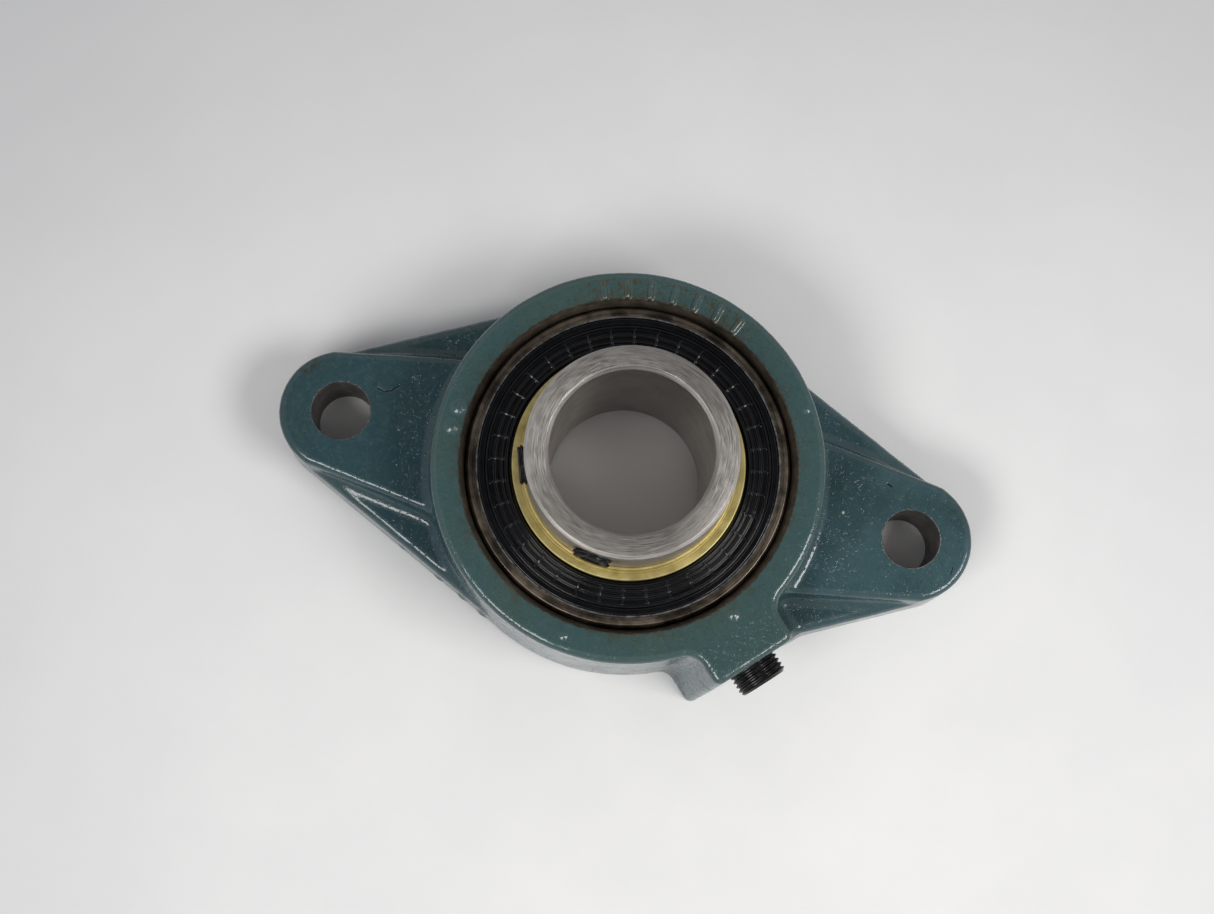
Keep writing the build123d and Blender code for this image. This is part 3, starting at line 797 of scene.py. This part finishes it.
def ground_steel():
    """ground ring end with crossed grinding scratches, and circumferential lines on the round faces; painted
    shade darkens the end towards +Y and -Y and a little towards +X, and the bore on its +Y side
    """
    p = Paint("ground_steel")
    reach, angle = p.polar()
    facing = p.math("ABSOLUTE", p.make("ShaderNodeSeparateXYZ", Vector=p.normal).outputs[2])
    flat = p.ramp(facing, 0.85, 0.97)
    length = p.math("MULTIPLY", angle, RING_MIDDLE_R * math.pi / 180)
    arcs = p.make("ShaderNodeCombineXYZ", X=length, Y=reach).outputs[0]
    one = p.noise(1.0, 4.0, 0.65, p.stretch((0.22, 5.0, 1.0), arcs, 0.75))
    moved = p.vector("ADD", arcs, (37.0, 11.0, 5.0))
    two = p.noise(1.0, 4.0, 0.65, p.stretch((0.20, 4.2, 1.0), moved, -0.55))
    side = p.noise(7.0, 2.0)
    scratch = p.math("ADD", p.math("MULTIPLY", one, p.ramp(side, 0.35, 0.6)),
                     p.math("MULTIPLY", two, p.ramp(side, 0.35, 0.6, 1.0, 0.0)))
    rounds = p.noise(1.0, 3.0, 0.6, p.turned(reach, angle, 7.0, 0.03))
    upright = p.math("SUBTRACT", 1.0, flat)
    pattern = p.math("ADD", p.math("MULTIPLY", flat, scratch), p.math("MULTIPLY", upright, rounds))
    blotch = p.noise(6.0, 4.0)
    color = p.mix(p.ramp(blotch, 0.3, 0.7), (0.40, 0.37, 0.34), (0.56, 0.52, 0.48))
    color = p.mix(p.ramp(pattern, 0.44, 0.60, 0.0, 0.6), color, (0.74, 0.70, 0.66))
    color = p.mix(p.ramp(pattern, 0.30, 0.44, 0.45, 0.0), color, (0.16, 0.145, 0.13))
    # painted shade on the ground end: darker towards +Y and -Y and a little towards +X, standing in for the way
    # the grinding marks catch the light
    turn = p.math("MULTIPLY", angle, math.pi / 180)
    toward = p.math("MULTIPLY", p.math("COSINE", turn), -1.0)
    shade = p.math("MULTIPLY", p.ramp(p.math("ABSOLUTE", p.math("SINE", turn)), 0.25, 0.95), 0.50)
    shade = p.math("ADD", shade, p.ramp(toward, -0.9, 0.6, 0.12, 0.0), clamp=True)
    color = p.mix(p.math("MULTIPLY", shade, flat), color, (0.15, 0.138, 0.125))
    # painted shade on the bore: darker on its +Y side
    back = p.math("MULTIPLY", p.ramp(p.math("SINE", turn), 0.55, 0.95, 0.0, 0.55), upright)
    color = p.mix(back, color, (0.12, 0.112, 0.108))
    rough = p.ramp(pattern, 0.35, 0.65, 0.34, 0.50)
    normal = p.bump(pattern, 0.8, 0.06)
    return p.finish(color, 1.0, rough, normal)


def oiled_steel(name="oiled_steel", tint=(0.085, 0.070, 0.055), light=(0.19, 0.155, 0.12)):
    """turned bearing steel under a brown film of oil"""
    p = Paint(name)
    reach, angle = p.polar()
    lines = p.noise(1.0, 3.0, 0.6, p.turned(reach, angle, 8.0, 0.04))
    film = p.noise(5.0, 5.0, 0.6)
    color = p.mix(p.ramp(film, 0.35, 0.68), tint, light)
    color = p.mix(p.ramp(lines, 0.45, 0.62, 0.0, 0.5), color, (0.08, 0.065, 0.05))
    rough = p.ramp(film, 0.3, 0.7, 0.26, 0.45)
    normal = p.bump(lines, 0.5, 0.04)
    return p.finish(color, 1.0, rough, normal)


def rubber():
    """glossy moulded rubber with a film of oil and a little dust"""
    p = Paint("seal_rubber")
    dust = p.ramp(p.noise(0.35, 3.0, 0.7), 0.66, 0.78)
    film = p.noise(3.0, 4.0)
    color = p.mix(p.ramp(film, 0.3, 0.7), (0.002, 0.0023, 0.003), (0.005, 0.0055, 0.007))
    color = p.mix(p.math("MULTIPLY", dust, 0.25), color, (0.05, 0.05, 0.05))
    rough = p.ramp(p.noise(0.8, 3.0), 0.35, 0.7, 0.05, 0.12)
    normal = p.bump(p.noise(0.7, 3.0), 0.35, 0.05)
    normal = p.bump(p.noise(0.25, 2.0), 0.25, 0.02, normal)
    return p.finish(color, 0.0, rough, normal, Specular_IOR_Level=0.5)


def yellow_zinc():
    """yellow-passivated zinc plate, slightly uneven, with brown spots of oil"""
    p = Paint("yellow_zinc")
    cloud = p.noise(4.0, 5.0, 0.6)
    color = p.mix(p.ramp(cloud, 0.3, 0.7), (0.41, 0.33, 0.12), (0.54, 0.45, 0.19))
    spots = p.ramp(p.noise(0.8, 4.0, 0.7), 0.63, 0.75)
    color = p.mix(p.math("MULTIPLY", spots, 0.7), color, (0.20, 0.12, 0.04))
    rough = p.ramp(cloud, 0.3, 0.7, 0.32, 0.46)
    normal = p.bump(p.noise(0.5, 4.0, 0.6), 0.35, 0.04)
    return p.finish(color, 0.7, rough, normal)


def black_oxide():
    """black oxide over cut threads, oily"""
    p = Paint("black_oxide")
    cloud = p.noise(1.5, 5.0, 0.6)
    color = p.mix(p.ramp(cloud, 0.3, 0.7), (0.006, 0.006, 0.007), (0.022, 0.021, 0.022))
    rough = p.ramp(cloud, 0.3, 0.7, 0.22, 0.38)
    normal = p.bump(p.noise(0.4, 4.0, 0.6), 0.4, 0.04)
    return p.finish(color, 0.35, rough, normal)


def bright_steel(name, light, dark, low, high):
    """polished or pressed steel with faint marks"""
    p = Paint(name)
    cloud = p.noise(2.0, 5.0, 0.6)
    color = p.mix(p.ramp(cloud, 0.3, 0.7), dark, light)
    rough = p.ramp(p.noise(1.0, 4.0), 0.3, 0.7, low, high)
    normal = p.bump(p.noise(0.6, 3.0), 0.25, 0.02)
    return p.finish(color, 1.0, rough, normal)


def paper():
    """pale matt table top with faint smudges, and a painted pool of light: brightest round a point in front of
    the housing and darker with distance from it
    """
    p = Paint("table_top")
    cloud = p.noise(60.0, 5.0, 0.6)
    color = p.mix(p.ramp(cloud, 0.3, 0.7), (0.75, 0.745, 0.74), (0.79, 0.785, 0.775))
    # painted light: the table is painted darker with distance from a point in front of the housing, a painted
    # pool of light with a vignette
    away = p.vector("LENGTH", p.vector("MULTIPLY", p.vector("SUBTRACT", p.mm, (35.0, -55.0, 0.0)), (1, 1, 0)))
    color = p.mix(p.ramp(away, 40.0, 330.0, 0.0, 0.75), color, (0.42, 0.425, 0.44))
    marks = p.ramp(p.noise(9.0, 6.0, 0.7), 0.66, 0.80)
    color = p.mix(p.math("MULTIPLY", marks, 0.10), color, (0.50, 0.49, 0.47))
    normal = p.bump(p.noise(2.5, 4.0), 0.2, 0.15)
    return p.finish(color, 0.0, 0.6, normal, Specular_IOR_Level=0.3)


# ---------------------------------------------------------------- assembly

def dress(obj, material):
    """put one material on every face of an object"""
    obj.data.materials.clear()
    obj.data.materials.append(material)


def put(obj, body, node, material=None):
    """a new piece that stands for a CAD node and rides on its body"""
    if material is not None:
        dress(obj, material)
    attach(obj, body)
    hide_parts(node)


STEEL = ground_steel()
OILED = oiled_steel()
RUBBER = rubber()
ZINC = yellow_zinc()
OXIDE = black_oxide()
PRESSED = bright_steel("pressed_steel", (0.34, 0.33, 0.32), (0.22, 0.21, 0.20), 0.25, 0.4)
POLISHED = bright_steel("ball_steel", (0.62, 0.61, 0.60), (0.52, 0.51, 0.50), 0.05, 0.12)

put(make_housing(), "housing", "housing")
put(make_plug(), "housing", "grease_plug", OXIDE)
put(make_outer_ring(), "outer", "outer_ring", OILED)
put(make_inner_ring(), "inner", "inner_ring", STEEL)
for face, side in (("front", 1), ("rear", -1)):
    put(make_seal("seal_face_" + face, side), "outer", face + "_seal_rubber", RUBBER)
    put(make_flinger("flinger_ring_" + face, side), "inner", face + "_flinger", ZINC)
for which, degrees in (("a", 197.3), ("b", 261.5)):
    put(make_screw("screw_threaded_" + which, degrees), "screw_" + which, "set_screw_" + which, OXIDE)

for name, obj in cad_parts.items():
    if name.startswith("ball_") or name == "anti_rotation_pin":
        dress(obj, POLISHED)
    elif name.startswith("cage") or name.endswith("seal_shell"):
        dress(obj, PRESSED)


# ---------------------------------------------------------------- stage

def make_floor():
    size = 1500.0
    points = [(-size, -size, 0), (size, -size, 0), (size, size, 0), (-size, size, 0)]
    floor = new_object("table", points, [(0, 1, 2, 3)])
    dress(floor, paper())


def area_light(name, place, aim, wide, high, power, color):
    light = bpy.data.lights.new(name, "AREA")
    light.shape = "RECTANGLE"
    light.size, light.size_y = wide, high
    light.energy = power
    light.color = color
    obj = bpy.data.objects.new(name, light)
    bpy.context.scene.collection.objects.link(obj)
    place, aim = np.array(place, float), np.array(aim, float)
    obj.location = place
    obj.rotation_euler = Vector(aim - place).to_track_quat("-Z", "Y").to_euler()


def make_camera():
    camera = bpy.data.cameras.new("camera")
    camera.sensor_width = 36.0
    camera.lens = 53.39
    obj = bpy.data.objects.new("camera", camera)
    bpy.context.scene.collection.objects.link(obj)
    obj.location = (-0.0040553, -0.0743731, 0.4536521)
    obj.rotation_mode = "ZYX"
    obj.rotation_euler = (math.radians(10.09520), math.radians(0.18359), math.radians(12.72075))
    bpy.context.scene.camera = obj


DARK_PATCH = (0.0, 0.17, 0.985)


def make_world():
    """even room light with a dark patch almost overhead"""
    world = bpy.data.worlds.new("studio")
    bpy.context.scene.world = world
    world.use_nodes = True
    tree = world.node_tree
    place = tree.nodes.new("ShaderNodeTexCoord")
    toward = tree.nodes.new("ShaderNodeVectorMath")
    toward.operation = "DOT_PRODUCT"
    toward.inputs[1].default_value = DARK_PATCH
    fade = tree.nodes.new("ShaderNodeMapRange")
    fade.interpolation_type = "SMOOTHSTEP"
    fade.inputs["From Min"].default_value, fade.inputs["From Max"].default_value = 0.935, 0.985
    fade.inputs["To Min"].default_value, fade.inputs["To Max"].default_value = 0.42, 0.06
    tree.links.new(place.outputs["Generated"], toward.inputs[0])
    tree.links.new(toward.outputs["Value"], fade.inputs["Value"])
    back = tree.nodes["Background"]
    back.inputs["Color"].default_value = (0.96, 0.97, 1.0, 1.0)
    tree.links.new(fade.outputs["Result"], back.inputs["Strength"])


def around(degrees, elevation, distance):
    """point at an angle round the shaft axis and above the table, in metres"""
    turn, rise = math.radians(degrees), math.radians(elevation)
    level = distance * math.cos(rise)
    return (level * math.cos(turn), level * math.sin(turn), distance * math.sin(rise))


make_floor()
make_camera()
make_world()
area_light("window_left", around(240, 48, 1.05), (0, 0, 0), 0.50, 0.32, 4.7, (1.0, 0.99, 0.98))
area_light("window_right", around(-14, 48, 1.0), (0, 0, 0), 0.46, 0.32, 5.2, (1.0, 0.99, 0.98))
bpy.context.scene.view_settings.view_transform = "Standard"
